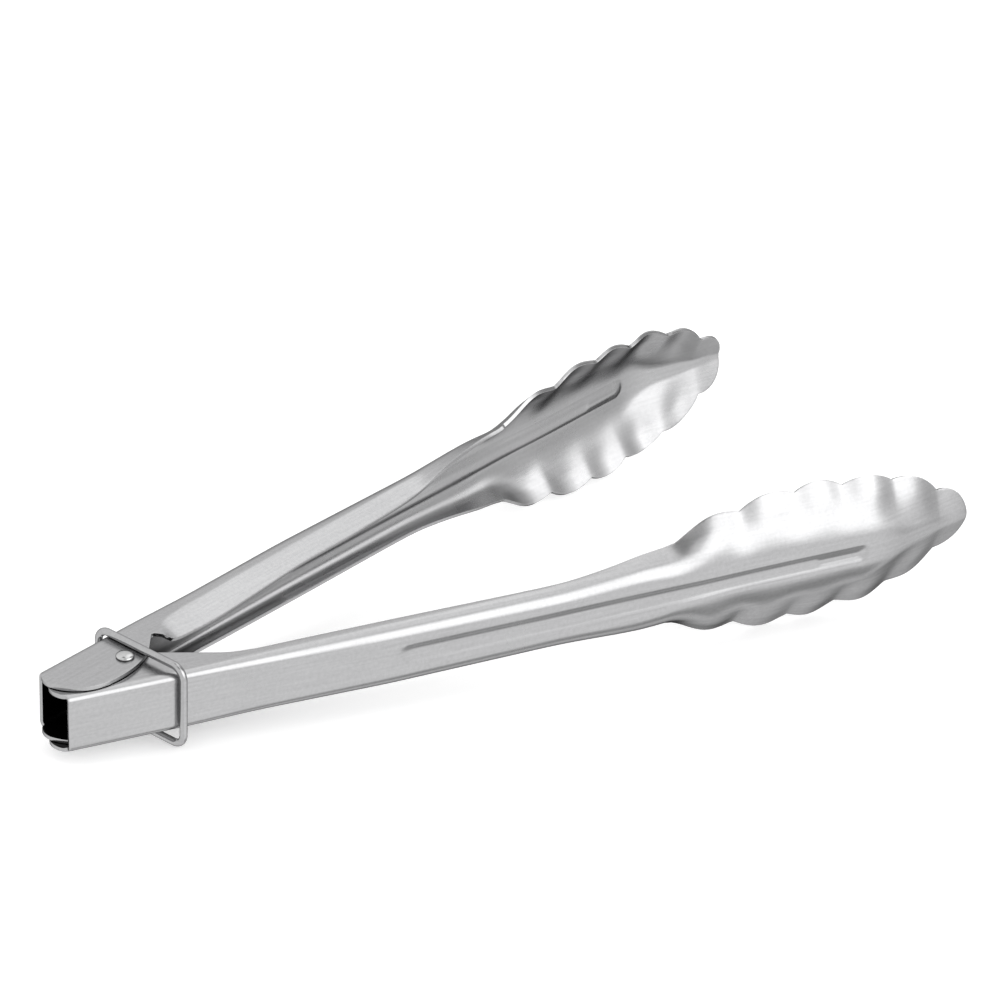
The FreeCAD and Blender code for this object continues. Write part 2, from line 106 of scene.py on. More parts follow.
RIB = (62.0, 183.4)     # ends of the rib, pressed in along the web
RIB_HALF = 2.8
RIB_DEPTH = 0.56
SLOT = (169.0, 181.2)   # narrow slot in the front of the rib
SLOT_HALF = 1.0
SLOT_DEPTH = 0.2
RIB_FLOOR = 0.25        # share of the half width of rib or slot that is flat

# edges of ears and flanges, as s and v
EAR_REAR = [(WEB_REAR, 8.9), (-19.0, 6.8), (-19.5, 4.2)]    # on one arc
EAR_UNDER = [(-19.5, 4.2), (-15.3, -2.45), (-8.5, -4.75)]   # on the next
OUTER_EAR = [(-8.5, -4.75), (-1.2, -4.35), (5.5, -1.95)]
NOTCH = [(5.5, -1.95), (10.9, 2.5), (11.6, 2.5), (13.8, -1.0), (30, -1.0)]
NOTCH_ROUND = 0.7
INNER_EAR = [(-8.5, -4.75), (-3.0, -4.45), (2.0, -3.15)]
EAR_RISE = [(2.0, -3.15), (19.0, 3.7), (23.0, 5.2), (29.0, 5.8)]
EAR_RISE_ROUND = 3.0
STOP_REACH = 8.5        # hinge axis to the flat of the inner ear that meets the other arm's web
DEEP_EDGE = [(13.8, -1.0), (30, -1.0), (40, -0.6), (57, 0.2), (75, 0.3), (93, 1.1), (114, 3.2), (128, 4.15)]
DEEP_START = 24
SHALLOW_EDGE = [(28, 5.8), (45, 5.7), (65, 5.7), (92, 5.9), (106, 5.9), (118, 5.0), (128, 4.2)]
SHALLOW_START = 29
FLANGE_END = 128
BOWL_START = (CUSPS[0][0], 3.95)
EDGE_STEP = 0.5         # points on the blank's edge are no further apart
HOLE_RADIUS = 1.55

# the thumb rest: crease of the facet on the deep flange, its slope, and where it starts and fades
THUMB_CREASE = [
    (13, 1.6), (14, 2.6), (15.5, 4.2), (17.6, 5.2), (24, 6.0), (65, 6.0), (81, 6.2), (99, 6.7), (113, 6.7),
]
THUMB_SLOPE = math.tan(math.radians(18))
THUMB_ROUND = 0.3       # softness of the crease
THUMB_RISE = (12.2, 14.2)
THUMB_FADE = (99.0, 113.0)

REACH = np.linspace(0, 32, 1600)    # trial girths, past the blank's widest


def smooth(stations, s, spread=4.0):
    """Value at s between stations, rounded off over a short run each way."""
    at, values = np.array(stations, float).T
    total = 0.0
    steps = np.linspace(-spread, spread, 9)
    for step in steps:
        total = total + np.interp(s + step, at, values)
    return total / len(steps)


def ease(low, high, x):
    """0 below low, 1 above high, smooth between."""
    x = np.clip((x - low) / (high - low), 0, 1)
    return x * x * (3 - 2 * x)


def section(s):
    """(web, bend radius, bend angle, half width of the flat part) of the section at s."""
    web = smooth(WEB, s, 5.0)
    knee = smooth(KNEE, s)
    bend = smooth(BEND, s)
    turn = np.radians(smooth(TURN, s, 5.0))
    flat = knee - bend * np.tan(turn / 2)
    return web, bend, turn, flat


def folded(s, girth):
    """(v, u, outward v, outward u) of a point of the blank once the arm is bent up."""
    web, bend, turn, flat = section(s)
    reach = np.abs(girth)
    angle = np.clip((reach - flat) / bend, 0, turn)
    beyond = np.maximum(reach - flat - bend * turn, 0)
    u = np.minimum(reach, flat) + bend * np.sin(angle) + beyond * np.cos(turn)
    v = web - bend * (1 - np.cos(angle)) - beyond * np.sin(turn)
    side = np.sign(girth)
    u = u + smooth(SWELL, s) * (side > 0) * np.clip(reach / np.maximum(flat, 1), 0, 1)
    return v, side * u, np.cos(angle), side * np.sin(angle)


def girth_at_v(s, v):
    """Girth at which the bent section has come down to v."""
    return np.interp(-v, -folded(np.full_like(REACH, s), REACH)[0], REACH)


def girth_at_u(s, u, side=-1):
    """Girth at which the bent section has come out to u, on the deep (1) or shallow (-1) side."""
    return np.interp(u, side * folded(np.full_like(REACH, s), side * REACH)[1], REACH)


def rim_girth(s):
    """Girth of the bowl's rim at each s, without its lobes."""
    at = [cusp[0] for cusp in CUSPS] + [TIP]
    girths = [girth_at_u(*cusp) for cusp in CUSPS] + [0.0]
    return np.interp(s, at, girths)


def pressed(s, girth, rim):
    """(s, v, u) of points of the blank after all the pressing."""
    v, u, out_v, out_u = folded(s, girth)
    # thumb rest, on the deep flange
    below = np.maximum(smooth(THUMB_CREASE, s, 0.6) - v, 0)
    rest = THUMB_SLOPE * (np.sqrt(below ** 2 + THUMB_ROUND) - math.sqrt(THUMB_ROUND))
    rest = rest * (girth > 0) * (1 - ease(*THUMB_FADE, s)) * ease(*THUMB_RISE, s)
    # flutes of the bowl
    at = np.array([CUSPS[0][0] - FLUTE_LEAD] + [cusp[0] for cusp in CUSPS[1:]] + [2 * TIP - CUSPS[-1][0]])
    index = np.clip(np.searchsorted(at, s) - 1, 0, len(at) - 2)
    share = np.clip((s - at[index]) / (at[index + 1] - at[index]), 0, 1)
    inward = rim - np.abs(girth)
    fading = np.exp(-(np.maximum(inward - FLUTE_RIM, 0) / FLUTE_LENGTH) ** 2)
    share = np.where(index == 0, share ** FIRST_LEAN, share)
    flute = np.array(FLUTES)[index] * np.sin(math.pi * share) ** FLUTE_ROUND * fading
    push = flute - rest
    v = v + out_v * push
    u = u + out_u * push
    # rib, and its slot
    for (start, end), half, depth in ((RIB, RIB_HALF, RIB_DEPTH), (SLOT, SLOT_HALF, SLOT_DEPTH)):
        past = np.maximum(np.maximum(start + half - s, s - end + half), 0)
        distance = np.hypot(past, girth) / half
        v = v - depth * (1 - ease(RIB_FLOOR, 1.0, distance))
    return np.stack([s, v, u], axis=-1)


# ---------------------------------------------------------------- the blank's outline


def arc(start, through, end, count=14):
    """Points on the circle through three points."""
    (ax, ay), (bx, by), (cx, cy) = start, through, end
    d = 2 * (ax * (by - cy) + bx * (cy - ay) + cx * (ay - by))
    a2, b2, c2 = ax * ax + ay * ay, bx * bx + by * by, cx * cx + cy * cy
    x = (a2 * (by - cy) + b2 * (cy - ay) + c2 * (ay - by)) / d
    y = (a2 * (cx - bx) + b2 * (ax - cx) + c2 * (bx - ax)) / d
    radius = math.hypot(ax - x, ay - y)
    first = math.atan2(ay - y, ax - x)
    middle = (math.atan2(by - y, bx - x) - first) % math.tau
    last = (math.atan2(cy - y, cx - x) - first) % math.tau
    if middle > last:
        last -= math.tau
    turns = [first + last * k / count for k in range(count + 1)]
    return [(x + radius * math.cos(turn), y + radius * math.sin(turn)) for turn in turns]


def rounded(points, radius):
    """A run of points with every corner between its ends rounded off."""
    result = [points[0]]
    for before, corner, after in zip(points, points[1:], points[2:]):
        before, corner, after = Vector(before), Vector(corner), Vector(after)
        near = min(radius, (before - corner).length / 2, (after - corner).length / 2)
        a = corner + (before - corner).normalized() * near
        b = corner + (after - corner).normalized() * near
        for k in range(6):
            share = k / 5
            curve = (1 - share) ** 2 * a + 2 * share * (1 - share) * corner + share * share * b
            result.append(tuple(curve))
    result.append(points[-1])
    return result


def stretch(points, step):
    """The same run with points no further apart than step."""
    result = [points[0]]
    for a, b in zip(points, points[1:]):
        count = max(1, math.ceil(math.dist(a, b) / step))
        for k in range(1, count + 1):
            result.append((a[0] + (b[0] - a[0]) * k / count, a[1] + (b[1] - a[1]) * k / count))
    return result


def ear_edge():
    """Rear edge of an ear in s and v, from the web round to where the two ears' shapes part."""
    return arc(*EAR_REAR) + arc(*EAR_UNDER)[1:]


def flange_edge(stations, start):
    """Edge of a flange in s and v, from s = start to the first cusp."""
    along = np.linspace(start, FLANGE_END, 60)
    return [(s, float(smooth(stations, s, 3.0))) for s in along] + [BOWL_START]


def deep_side():
    """Edge of the outer ear and the deep flange, from the rear of the web to the first cusp."""
    ear = ear_edge() + arc(*OUTER_EAR)[1:-1]
    notch = rounded(NOTCH, NOTCH_ROUND)[:-1]
    return ear + notch + flange_edge(DEEP_EDGE, DEEP_START)


def stopped(points):
    """The inner ear's edge, cut back to the flat that meets the other arm's web when open."""
    s_out, v_out = -math.sin(2 * HALF_OPEN), -math.cos(2 * HALF_OPEN)
    result = []
    for s, v in stretch(points, EDGE_STEP):
        past = max(s * s_out + v * v_out - STOP_REACH, 0)
        result.append((s - past * s_out, v - past * v_out))
    return result


def shallow_side():
    """Edge of the inner ear and the shallow flange, from the rear of the web to the first cusp."""
    ear = stopped(ear_edge() + arc(*INNER_EAR)[1:])[:-1]
    rise = rounded(EAR_RISE, EAR_RISE_ROUND)[:-1]
    return ear + rise + flange_edge(SHALLOW_EDGE, SHALLOW_START)


LOBE_POINTS = 26
TIP_POINTS = 24


def lobe_side(side):
    """Edge of the lobes on one side of the bowl, from the first cusp to the tip, as s and girth."""
    edge = []
    for index, ((s0, u0), (s1, u1)) in enumerate(zip(CUSPS, CUSPS[1:])):
        start = (s0, girth_at_u(s0, u0, side))
        end = (s1, girth_at_u(s1, u1, side))
        along = Vector(end) - Vector(start)
        out = along.orthogonal().normalized() * LOBE_RISE
        if index == 0:
            for k in range(LOBE_POINTS):
                share = k / LOBE_POINTS
                rise = math.sin(math.pi * share ** FIRST_LEAN)
                edge.append(tuple(Vector(start) + along * share + out * rise))
            continue
        crest = (Vector(start) + Vector(end)) / 2 + out
        edge += arc(start, tuple(crest), end, LOBE_POINTS)[:-1]
    # the tip, one arc from the last cusp
    s0, u0 = CUSPS[-1]
    radius = ((TIP - s0) ** 2 + u0 ** 2) / (2 * (TIP - s0))
    first = math.atan2(u0, s0 - (TIP - radius))
    for k in range(TIP_POINTS):
        turn = first * (1 - k / TIP_POINTS)
        s = TIP - radius + radius * math.cos(turn)
        edge.append((s, float(girth_at_u(s, radius * math.sin(turn), side))))
    return edge + [(TIP, 0.0)]


def blank_outline():
    """The whole edge of the blank, in s and girth."""
    sides = []
    for side, edge in ((1, deep_side()), (-1, shallow_side())):
        bent = [(s, float(girth_at_v(s, v))) for s, v in stretch(edge, EDGE_STEP)]
        sides.append(bent[:-1] + lobe_side(side))
    deep, shallow = sides
    flat = [(s, -girth) for s, girth in reversed(shallow)]
    web = stretch([flat[-1], deep[0]], EDGE_STEP)[1:-1]
    return deep + flat[1:] + web


# ---------------------------------------------------------------- building the arm's mesh


GRID_RUNS = [(-20, 26, 0.6), (26, 116, 1.2), (116, TIP, 0.55)]      # from, to and step along the arm
GRID_ACROSS = (-26.1, 26.2, 0.42)
GRID_CLEAR = 0.3        # no grid point is closer to an edge point than this
HOLE_POINTS = 40


def grid_lines():
    """Rows and columns across the blank, closer together where the pressing is finer."""
    return np.concatenate([np.arange(*run) for run in GRID_RUNS]), np.arange(*GRID_ACROSS)


def join_cells(flat, faces, lines):
    """The same faces, with the two triangles of each whole cell of the grid joined."""
    spot = [np.argmin(np.abs(flat[:, axis, None] - lines[axis]), axis=1) for axis in (0, 1)]
    on_grid = np.hypot(lines[0][spot[0]] - flat[:, 0], lines[1][spot[1]] - flat[:, 1]) < 1e-4
    index = {(i, j): k for k, (i, j) in enumerate(zip(*spot)) if on_grid[k]}
    cells = {}
    result = []
    for face in faces:
        rows = [spot[0][k] for k in face]
        columns = [spot[1][k] for k in face]
        small = max(rows) - min(rows) == 1 and max(columns) - min(columns) == 1
        if small and all(on_grid[k] for k in face):
            cells.setdefault((min(rows), min(columns)), []).append(face)
        else:
            result.append(face)
    for (i, j), pair in cells.items():
        if len(pair) == 2:
            result.append([index[i, j], index[i + 1, j], index[i + 1, j + 1], index[i, j + 1]])
        else:
            result += pair
    return result


def build_pressing():
    """Mesh of one arm's outer face, pressed from the blank."""
    outline = blank_outline()
    turns = [k * math.tau / HOLE_POINTS for k in range(HOLE_POINTS)]
    hole = [(HOLE_RADIUS * math.cos(turn), HOLE_RADIUS * math.sin(turn)) for turn in turns]
    loops = [outline]
    for side in (1, -1):
        loops.append([(s, side * float(girth_at_v(s, v))) for s, v in hole])
    fixed = []
    edges = []
    for loop in loops:
        first = len(fixed)
        fixed += loop
        edges += [(first + k, first + (k + 1) % len(loop)) for k in range(len(loop))]
    tree = KDTree(len(fixed))
    for index, (s, girth) in enumerate(fixed):
        tree.insert((s, girth, 0), index)
    tree.balance()
    lines = grid_lines()
    s, girth = np.meshgrid(*lines, indexing="ij")
    free = [p for p in zip(s.ravel(), girth.ravel()) if tree.find((*p, 0))[2] > GRID_CLEAR]
    points = [Vector(p) for p in fixed + free]
    found, _, faces, _, _, _ = delaunay_2d_cdt(points, edges, [], 2, 1e-5)
    flat = np.array([tuple(p) for p in found])
    keep = join_cells(flat, inside(flat, faces, outline, loops[1:]), lines)
    placed = pressed(flat[:, 0], flat[:, 1], rim_girth(flat[:, 0]))
    mesh = bpy.data.meshes.new("pressing")
    mesh.from_pydata((placed * MM).tolist(), [], keep)
    work = bmesh.new()
    work.from_mesh(mesh)
    blank = work.verts.layers.float_vector.new("blank")
    for vert, (s, girth) in zip(work.verts, flat):
        vert[blank] = (s * MM, girth * MM, 0)
    loose = [v for v in work.verts if not v.link_faces]
    bmesh.ops.delete(work, geom=loose, context="VERTS")
    bmesh.ops.recalc_face_normals(work, faces=work.faces)
    outermost = max(work.faces, key=lambda face: face.calc_center_median().y)
    if outermost.normal.y < 0:
        bmesh.ops.reverse_faces(work, faces=work.faces)
    work.to_mesh(mesh)
    work.free()
    return mesh


def inside(flat, faces, outline, holes):
    """The triangles that lie in the blank and outside its holes."""
    middle = np.array([flat[list(face)].mean(axis=0) for face in faces])
    within = even_odd(middle, outline)
    for hole in holes:
        within &= ~even_odd(middle, hole)
    return [face for face, kept in zip(faces, within) if kept]


def even_odd(points, loop):
    """Which points lie inside a closed loop."""
    result = np.zeros(len(points), bool)
    x, y = points.T
    for (x0, y0), (x1, y1) in zip(loop, loop[1:] + loop[:1]):
        if y0 == y1:
            continue
        crosses = (y0 > y) != (y1 > y)
        result ^= crosses & (x < (x1 - x0) * (y - y0) / (y1 - y0) + x0)
    return result


def finish_sheet(obj, place):
    """Give the pressing its thickness, round its edges, and put it where the arm lies."""
    thick = obj.modifiers.new("thickness", "SOLIDIFY")
    thick.thickness = GAUGE * MM
    thick.offset = -1
    thick.use_even_offset = True
    thick.use_quality_normals = True
    thick.material_offset = 1
    thick.material_offset_rim = 2
    settle(obj)
    work = bmesh.new()
    work.from_mesh(obj.data)
    rim = []
    for edge in work.edges:
        on_rim = {face.material_index == 2 for face in edge.link_faces}
        if len(on_rim) == 2:
            rim.append(edge)
    rounding = {"offset": EDGE_ROUND * MM, "segments": 3, "profile": 0.5, "clamp_overlap": True}
    bmesh.ops.bevel(work, geom=rim, affect="EDGES", **rounding)
    for face in work.faces:
        face.material_index = face.material_index % 2
    work.transform(place)
    work.to_mesh(obj.data)
    work.free()
    shade = obj.modifiers.new("shading", "WEIGHTED_NORMAL")
    shade.keep_sharp = True
    settle(obj)


def settle(obj):
    """Apply every modifier of an object and shade it smooth."""
    for polygon in obj.data.polygons:
        polygon.use_smooth = True
    graph = bpy.context.evaluated_depsgraph_get()
    shaped = obj.evaluated_get(graph)
    made = bpy.data.meshes.new_from_object(shaped, preserve_all_data_layers=True, depsgraph=graph)
    obj.modifiers.clear()
    obj.data = made


def add_object(name, data):
    """Put a mesh or camera into the scene under a name."""
    obj = bpy.data.objects.new(name, data)
    bpy.context.scene.collection.objects.link(obj)
    return obj


def arm_place(turned):
    """Where an arm's own frame sits in the frame of the whole."""
    place = Matrix.Translation((0, 0, NEST * MM)) @ Matrix.Rotation(HALF_OPEN, 4, "Z")
    return Matrix.Rotation(math.pi, 4, "X") @ place if turned else place


def make_arms(outside, inside_face):
    """Both arms: one pressing, set open, and the same turned half a turn about the long axis."""
    pressing = build_pressing()
    for node_name, turned in (("left_arm", False), ("right_arm", True)):
        arm = add_object(node_name + "_pressing", pressing.copy())
        for finish in (outside, inside_face, outside):
            arm.data.materials.append(finish)
        finish_sheet(arm, arm_place(turned))
        arm.data.materials.pop(index=2)
        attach(arm, node_name)
        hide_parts(node_name)


# ---------------------------------------------------------------- rivet, ring and spring


def lathe(name, profile, count=96):
    """Mesh turned about the hinge axis from (radius, height) points that start and end on it."""
    rings = profile[1:-1]
    points = [(0, 0, profile[0][1])]
    for radius, height in rings:
        for k in range(count):
            turn = k * math.tau / count
            points.append((radius * math.cos(turn), radius * math.sin(turn), height))
    points.append((0, 0, profile[-1][1]))
    faces = []
    for k in range(count):
        after = (k + 1) % count
        faces.append((0, 1 + after, 1 + k))
        for row in range(len(rings) - 1):
            low = 1 + row * count
            faces.append((low + k, low + after, low + count + after, low + count + k))
        last = 1 + (len(rings) - 1) * count
        faces.append((last + k, last + after, len(points) - 1))
    mesh = bpy.data.meshes.new(name)
    mesh.from_pydata([tuple(c * MM for c in p) for p in points], [], faces)
    mesh.update()
    return add_object(name, mesh)


SHANK_RADIUS = 1.5
HEAD_HEIGHT = 1.0
HEAD_BAND = 0.22        # height of the head's side, below the dome
HEAD_FLATNESS = 0.9     # 1 for half an ellipsoid, less for a flatter dome
DOME_POINTS = 14


def make_rivet(finish):
    """The rivet: a shank and a domed, slightly flattened head at each end."""
    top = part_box("pivot_rivet")[1].z / MM
    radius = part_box("pivot_rivet")[1].x / MM
    seat = top - HEAD_HEIGHT
    half = [(0, top)]
    for k in range(1, DOME_POINTS + 1):
        turn = math.pi / 2 * k / DOME_POINTS
        rise = (HEAD_HEIGHT - HEAD_BAND) * math.cos(turn)
        half.append((radius * math.sin(turn) ** HEAD_FLATNESS, seat + HEAD_BAND + rise))
    # the head's lower edge, rounded, and its flat underside
    half += [(radius - 0.1, seat + 0.06), (radius - 0.25, seat), (SHANK_RADIUS, seat)]
    profile = [(r, -z) for r, z in half] + [(r, z) for r, z in reversed(half)]
    rivet = lathe("hinge_rivet", profile)
    rivet.data.materials.append(finish)
    settle(rivet)
    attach(rivet, "pivot")
    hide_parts("pivot_rivet")


def wire(name, points, radius, closed, sides=20):
    """Round wire along a run of points, with flat ends unless it is a loop."""
    curve = bpy.data.curves.new(name, "CURVE")
    curve.dimensions = "3D"
    curve.bevel_depth = radius * MM
    curve.bevel_resolution = sides // 4
    curve.use_fill_caps = not closed
    line = curve.splines.new("POLY")
    line.points.add(len(points) - 1)
    for knot, point in zip(line.points, points):
        knot.co = (*(c * MM for c in point), 1)
    line.use_cyclic_u = closed
    obj = add_object(name, curve)
    bpy.context.view_layer.update()
    graph = bpy.context.evaluated_depsgraph_get()
    mesh = bpy.data.meshes.new_from_object(obj.evaluated_get(graph))
    bpy.data.objects.remove(obj)
    made = add_object(name, mesh)
    for polygon in mesh.polygons:
        polygon.use_smooth = True
    return made


RING_AT = Vector((3.9, -0.4, 0))
RING_SKEW = math.radians(12.4)
RING_HALF = (13.04, 10.0)   # to the middle of the wire, across and up
RING_CORNER = 3.0
CORNER_POINTS = 16
RING_WIRE = 0.9


def make_ring(finish):
    """The locking ring: wire bent to a rounded rectangle round both arms."""
    half_y, half_z = RING_HALF
    points = []
    for quarter, (side_y, side_z) in enumerate(((1, 1), (-1, 1), (-1, -1), (1, -1))):
        for k in range(CORNER_POINTS + 1):
            turn = (quarter + k / CORNER_POINTS) * math.pi / 2
            y = side_y * (half_y - RING_CORNER) + RING_CORNER * math.cos(turn)
            z = side_z * (half_z - RING_CORNER) + RING_CORNER * math.sin(turn)
            points.append((0, y, z))
    low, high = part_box("locking_ring")
    lift = (low.z + high.z) / 2 / MM
    ring = wire("locking_ring_wire", points, RING_WIRE, True, 32)
    shift = Matrix.Translation((RING_AT + Vector((0, 0, lift))) * MM)
    ring.data.transform(shift @ Matrix.Rotation(RING_SKEW, 4, "Z"))
    ring.data.materials.append(finish)
    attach(ring, "locking_ring")
    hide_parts("locking_ring")


COIL_RADIUS = 2.9
COIL_PITCH = 1.7
COIL_TURNS = 6          # less what the legs leave out at the two ends
COIL_POINTS = 150       # in each half
SPRING_WIRE = 0.75
LEG = 24.0
LEG_POINTS = 24
LEG_REACH = 8.0         # leg's end to the hinge axis, across the arm


def make_spring(finish):
    """The torsion spring, in two halves that part at the middle of the coil, each with its leg along one arm.
    """
    lean = math.asin((LEG_REACH - COIL_RADIUS) / LEG)
    leave = math.pi / 2 + HALF_OPEN + lean
    turns = COIL_TURNS - 2 * leave / math.tau
    height = COIL_PITCH * turns
    halves = (("spring_left_half", "left_arm", 1), ("spring_right_half", "right_arm", -1))
    for name, body, side in halves:
        points = []
        for k in range(COIL_POINTS + 1):
            share = k / COIL_POINTS / 2
            turn = share * turns * math.tau
            across = -side * COIL_RADIUS * math.sin(turn)
            points.append((COIL_RADIUS * math.cos(turn), across, side * height * share))
        heading = HALF_OPEN + lean
        foot_y = side * COIL_RADIUS * math.sin(leave)
        foot = Vector((COIL_RADIUS * math.cos(leave), foot_y, side * height / 2))
        way = Vector((math.cos(heading), side * math.sin(heading), 0))
        for k in range(1, LEG_POINTS + 1):
            points.append(tuple(foot + way * (LEG * k / LEG_POINTS)))
        half = wire(name, points, SPRING_WIRE, False)
        half.data.materials.append(finish)
        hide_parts("torsion_spring")
        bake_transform(half)


# ---------------------------------------------------------------- finishes


def node(tree, kind, place=(0, 0), **values):
    """Add a node, with its properties and its unlinked inputs set by name."""
    made = tree.nodes.new(kind)
    made.location = place
    for key, value in values.items():
        if hasattr(made, key):
            setattr(made, key, value)
        else:
            made.inputs[key.replace("_", " ")].default_value = value
    return made


def group(name, inputs, outputs):
    """Empty shader group with float or vector inputs and float outputs."""
    tree = bpy.data.node_groups.new(name, "ShaderNodeTree")
    for label, kind, value in inputs:
        socket = tree.interface.new_socket(label, in_out="INPUT", socket_type=kind)
        if value is not None:
            socket.default_value = value
    for label in outputs:
        tree.interface.new_socket(label, in_out="OUTPUT", socket_type="NodeSocketFloat")
    return tree, node(tree, "NodeGroupInput", (-900, 0)), node(tree, "NodeGroupOutput", (600, 0))


def rolled_grain_group():
    """Fine lines left by rolling or drawing, long one way, as a shade and a height."""
    inputs = [
        ("Place", "NodeSocketVector", None),
        ("Lines", "NodeSocketFloat", 900.0),
        ("Length", "NodeSocketFloat", 40.0),
    ]
    tree, given, result = group("rolled_grain", inputs, ["Shade", "Height"])
    scale = node(tree, "ShaderNodeCombineXYZ", (-700, -200))
    tree.links.new(given.outputs["Length"], scale.inputs["X"])
    tree.links.new(given.outputs["Lines"], scale.inputs["Y"])
    tree.links.new(given.outputs["Lines"], scale.inputs["Z"])
    stretched = node(tree, "ShaderNodeVectorMath", (-500, 0), operation="MULTIPLY")
    tree.links.new(given.outputs["Place"], stretched.inputs[0])
    tree.links.new(scale.outputs[0], stretched.inputs[1])
    lines = node(tree, "ShaderNodeTexNoise", (-300, 100), Scale=1.0, Detail=2.0, Roughness=0.5)
    speckle = node(tree, "ShaderNodeTexNoise", (-300, -200), Scale=1100.0, Detail=2.0, Roughness=0.5)
    tree.links.new(stretched.outputs[0], lines.inputs["Vector"])
    tree.links.new(given.outputs["Place"], speckle.inputs["Vector"])
    mixed = node(tree, "ShaderNodeMath", (0, 0), operation="ADD")
    tree.links.new(lines.outputs["Fac"], mixed.inputs[0])
    tree.links.new(speckle.outputs["Fac"], mixed.inputs[1])
    shade = node(tree, "ShaderNodeMath", (200, 0), operation="MULTIPLY")
    shade.inputs[1].default_value = 0.5
    tree.links.new(mixed.outputs[0], shade.inputs[0])
    tree.links.new(shade.outputs[0], result.inputs["Shade"])
    tree.links.new(lines.outputs["Fac"], result.inputs["Height"])
    return tree


def handling_group():
    """Soft cloudy marks of handling and wiping, as a mask."""
    inputs = [("Place", "NodeSocketVector", None), ("Size", "NodeSocketFloat", 60.0)]
    tree, given, result = group("handling_marks", inputs, ["Mask"])
    cloud = node(tree, "ShaderNodeTexNoise", (-500, 0), Detail=5.0, Roughness=0.62, Distortion=0.6)
    tree.links.new(given.outputs["Place"], cloud.inputs["Vector"])
    tree.links.new(given.outputs["Size"], cloud.inputs["Scale"])
    mask = node(tree, "ShaderNodeMapRange", (-200, 0), From_Min=0.35, From_Max=0.7)
    tree.links.new(cloud.outputs["Fac"], mask.inputs["Value"])
    tree.links.new(mask.outputs["Result"], result.inputs["Mask"])
    return tree


GRAIN_DARK = 0.82       # the grain's darkest and lightest shades, as shares of the steel's own
GRAIN_LIGHT = 1.16
GRAZING_TINT = (0.28, 0.28, 0.28, 1)    # colour of the shine on steel seen edge on
GRAIN_RISE = 0.00002


def steel(name, groups, shade, roughness, lines, length, depth, blank=False):
    """Stainless steel: rolled or drawn grain, with cloudy handling marks in its roughness."""
    material = bpy.data.materials.new(name)
    material.use_nodes = True
    tree = material.node_tree
    shader = tree.nodes["Principled BSDF"]
    shader.inputs["Metallic"].default_value = 1.0
    shader.inputs["Specular Tint"].default_value = GRAZING_TINT
    if blank:
        place = node(tree, "ShaderNodeAttribute", (-1200, 0), attribute_name="blank").outputs["Vector"]
    else:
        place = node(tree, "ShaderNodeTexCoord", (-1200, 0)).outputs["Object"]
    grain = node(tree, "ShaderNodeGroup", (-900, 100), node_tree=groups["grain"])
    grain.inputs["Lines"].default_value = lines
    grain.inputs["Length"].default_value = length
    marks = node(tree, "ShaderNodeGroup", (-900, -200), node_tree=groups["marks"])
    for made in (grain, marks):
        tree.links.new(place, made.inputs["Place"])
    colour = node(tree, "ShaderNodeMix", (-500, 200), data_type="RGBA")
    colour.inputs["A"].default_value = (*(GRAIN_DARK * c for c in shade), 1)
    colour.inputs["B"].default_value = (*(GRAIN_LIGHT * c for c in shade), 1)
    tree.links.new(grain.outputs["Shade"], colour.inputs["Factor"])
    tree.links.new(colour.outputs["Result"], shader.inputs["Base Color"])
    low, high = roughness
    rough = node(tree, "ShaderNodeMapRange", (-500, -100), To_Min=low, To_Max=high)
    tree.links.new(marks.outputs["Mask"], rough.inputs["Value"])
    tree.links.new(rough.outputs["Result"], shader.inputs["Roughness"])
    bump = node(tree, "ShaderNodeBump", (-400, -400), Strength=depth, Distance=GRAIN_RISE)
    tree.links.new(grain.outputs["Height"], bump.inputs["Height"])
    tree.links.new(bump.outputs["Normal"], shader.inputs["Normal"])
    return material


# painted shade in the hinge end: along the arm in millimetres, and the share of the inner face's colour left
# at its darkest
HINGE_SHADE_RUN = (10, 42)  # full behind the first, gone beyond the second
HINGE_SHADE_FACTOR = 0.12


def paint_hinge_end_shade(material):
    """Painted shade inside the hinge end: the inner face's colour darkened towards the rear, where the
    channel lies in shadow.
    """
    tree = material.node_tree
    shader = tree.nodes["Principled BSDF"]
    unshaded_colour = shader.inputs["Base Color"].links[0].from_socket
    place = next(made for made in tree.nodes if made.bl_idname == "ShaderNodeAttribute")
    split = node(tree, "ShaderNodeSeparateXYZ", (-700, 500))
    tree.links.new(place.outputs["Vector"], split.inputs["Vector"])
    fade = node(tree, "ShaderNodeMapRange", (-500, 500), interpolation_type="SMOOTHSTEP")
    fade.inputs["From Min"].default_value = HINGE_SHADE_RUN[0] * MM
    fade.inputs["From Max"].default_value = HINGE_SHADE_RUN[1] * MM
    fade.inputs["To Min"].default_value = HINGE_SHADE_FACTOR
    tree.links.new(split.outputs["X"], fade.inputs["Value"])
    shaded_colour = node(tree, "ShaderNodeVectorMath", (-300, 400), operation="SCALE")
    tree.links.new(unshaded_colour, shaded_colour.inputs[0])
    tree.links.new(fade.outputs["Result"], shaded_colour.inputs["Scale"])
    tree.links.new(shaded_colour.outputs["Vector"], shader.inputs["Base Color"])


# ---------------------------------------------------------------- studio


RING_REST = 0.003       # rearmost point of the ring to where its lower bar rests, in metres
BOWL_REST = 0.162       # hinge axis to where the near bowl's lowest lobe rests
FLOOR_GAP = 0.0003
FLOOR_HALF = 4.0


